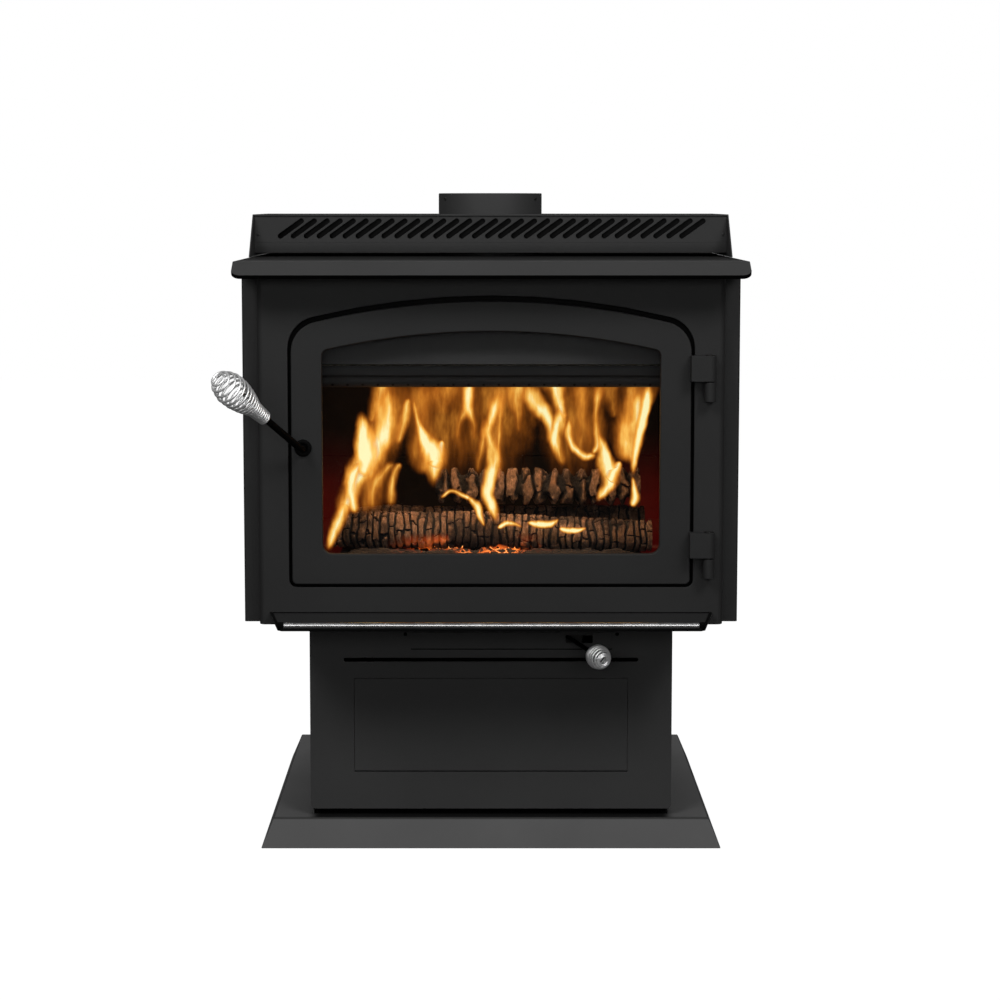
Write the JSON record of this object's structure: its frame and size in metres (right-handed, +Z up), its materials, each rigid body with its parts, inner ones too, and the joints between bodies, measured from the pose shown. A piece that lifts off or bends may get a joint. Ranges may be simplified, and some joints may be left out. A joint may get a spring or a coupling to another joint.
{
  "type": "wood burning stove",
  "caption": "Free-standing pedestal wood stove: arched glass door with coil handle, ash lip with rail, ash drawer, air control, raised louvred convection deck and top flue collar.",
  "frame": {"origin": "centre of the base's underside, on the floor, on the flat web of the stiffening channel under the base pan", "axes": "+Z up, +X to the right as seen from the front, the door and ash drawer face -Y"},
  "size_m": [0.7064, 0.7176, 0.9],
  "materials": {
    "stove_paint": "matt high-temperature black stove paint",
    "sheet_steel": "heat-darkened bare steel",
    "bright_steel": "bright plated steel",
    "cast_iron": "as cast",
    "firebrick": "sooted firebrick",
    "ceramic_fibre": "matt fibre board",
    "gasket_rope": "woven glass-fibre rope",
    "glass": "clear ceramic glass",
    "bark": "charred bark and split wood",
    "embers": "glowing charcoal and ash"
  },
  "bodies": {
    "stove_body": {"base_pan": "stove_paint", "pedestal_shell": "stove_paint", "pedestal_front": "stove_paint", "outside_air_cover": "stove_paint", "door_jamb": "stove_paint", "body_front_panel": "stove_paint", "side_shield_left": "stove_paint", "side_shield_right": "stove_paint", "rear_heat_shield": "stove_paint", "top_plate": "stove_paint", "air_deck": "stove_paint", "louver_panel": "stove_paint", "flue_collar": "stove_paint", "ash_lip": "stove_paint", "hinge_bracket_upper": "stove_paint", "hinge_bracket_lower": "stove_paint", "base_stiffener": "sheet_steel", "drawer_runner_left": "sheet_steel", "drawer_runner_right": "sheet_steel", "air_inlet_box": "sheet_steel", "firebox_shell": "sheet_steel", "brick_tray": "sheet_steel", "air_tube_front": "sheet_steel", "air_tube_middle": "sheet_steel", "air_tube_rear": "sheet_steel", "baffle_front_bar": "sheet_steel", "air_wash_plate": "sheet_steel", "latch_strike": "sheet_steel", "hinge_pin_upper": "sheet_steel", "hinge_pin_lower": "sheet_steel", "ash_lip_rail": "bright_steel", "firebrick_floor": "firebrick", "firebrick_left": "firebrick", "firebrick_right": "firebrick", "firebrick_back": "firebrick", "baffle_board": "ceramic_fibre", "baffle_blanket": "ceramic_fibre", "log_front": "bark", "log_rear": "bark", "log_top": "bark", "ember_bed": "embers"},
    "door": {"door_frame": "stove_paint", "glass_gasket": "gasket_rope", "door_glass": "glass", "glass_retainer": "sheet_steel", "door_gasket": "gasket_rope", "handle_bushing": "stove_paint", "hinge_knuckle_upper": "stove_paint", "hinge_knuckle_lower": "stove_paint"},
    "latch": {"handle_rod": "stove_paint", "handle_coil": "bright_steel", "latch_cam": "sheet_steel", "latch_nut": "sheet_steel"},
    "air_control": {"air_control_rod": "stove_paint", "air_control_coil": "bright_steel", "air_damper_plate": "sheet_steel"},
    "ash_drawer": {"ash_drawer_front": "stove_paint", "ash_drawer_box": "sheet_steel"},
    "ash_plug": {"ash_plug": "cast_iron"}
  },
  "joints": [
    {"name": "door_swing", "type": "hinge", "parent": "stove_body", "child": "door", "pos_m": [0.2946, -0.272, 0.54], "axis": [0, 0, 1], "range_deg": [0, 115]},
    {"name": "latch_turn", "type": "hinge", "parent": "door", "child": "latch", "pos_m": [-0.2544, -0.262, 0.5559], "axis": [0, -1, 0], "range_deg": [0, 90]},
    {"name": "air_control_slide", "type": "slide", "parent": "stove_body", "child": "air_control", "axis": [0, 1, 0], "range_m": [0, 0.025]},
    {"name": "ash_drawer_slide", "type": "slide", "parent": "stove_body", "child": "ash_drawer", "axis": [0, -1, 0], "range_m": [0, 0.3]},
    {"name": "ash_plug_lift", "type": "slide", "parent": "stove_body", "child": "ash_plug", "axis": [0, 0, 1], "range_m": [0, 0.06]}
  ]
}
